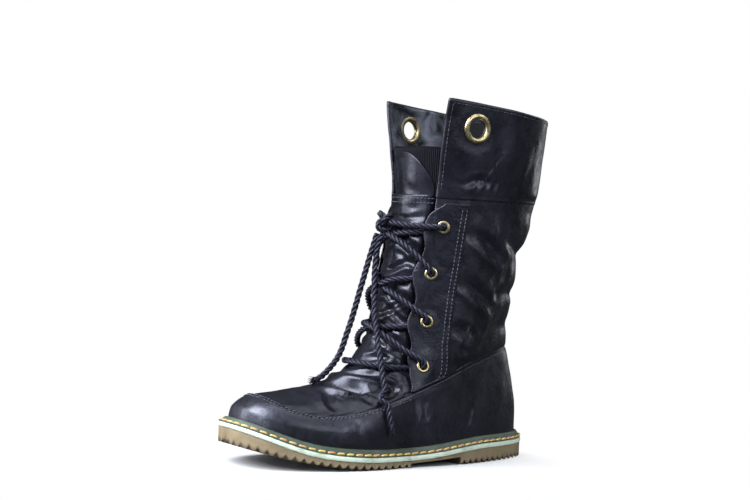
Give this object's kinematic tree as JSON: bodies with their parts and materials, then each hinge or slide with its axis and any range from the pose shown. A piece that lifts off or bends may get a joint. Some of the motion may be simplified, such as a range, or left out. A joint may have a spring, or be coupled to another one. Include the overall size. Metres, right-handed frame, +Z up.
{
  "type": "lace-up mid-calf boot",
  "caption": "Glossy dark leather lace-up mid-calf boot with moccasin toe, scalloped eyestays, cord lace, elastic front gusset and low saw-tooth rubber sole, for the left foot.",
  "frame": {"origin": "middle of the boot's box in plan, on the floor that the sole stands on", "axes": "-X to the toe, +X to the heel, -Y to the lateral side, +Y to the medial side, +Z up the shaft"},
  "size_m": [0.2815, 0.103, 0.2883],
  "materials": {
    "leather": "glossy blue-black leather, creased",
    "elastic": "ribbed black elastic",
    "cord": "twisted navy-black cord",
    "brass": "antique brass, polished rims",
    "tan_rubber": "matt tan rubber",
    "mint_foam": "matt pale mint foam rubber",
    "green_welt": "matt grey-green welt",
    "board": "brown insole cloth"
  },
  "bodies": {
    "root": {"outsole": "tan_rubber", "midsole": "mint_foam", "welt": "green_welt", "insole": "board", "upper": "leather", "tongue": "leather", "tongue_flap": "leather", "elastic_gusset": "elastic", "eyestay_lateral": "leather", "eyestay_medial": "leather", "eyelet_lateral_1": "brass", "eyelet_lateral_2": "brass", "eyelet_lateral_3": "brass", "eyelet_lateral_4": "brass", "eyelet_medial_1": "brass", "eyelet_medial_2": "brass", "eyelet_medial_3": "brass", "eyelet_medial_4": "brass", "grommet_lateral": "brass", "grommet_medial": "brass", "lace_bar_bottom": "cord", "lace_bar_top": "cord", "lace_crossing_1": "cord", "lace_crossing_2": "cord", "lace_crossing_3": "cord", "lace_knot": "cord", "lace_end_lateral": "cord", "lace_end_medial": "cord"}
  },
  "joints": []
}
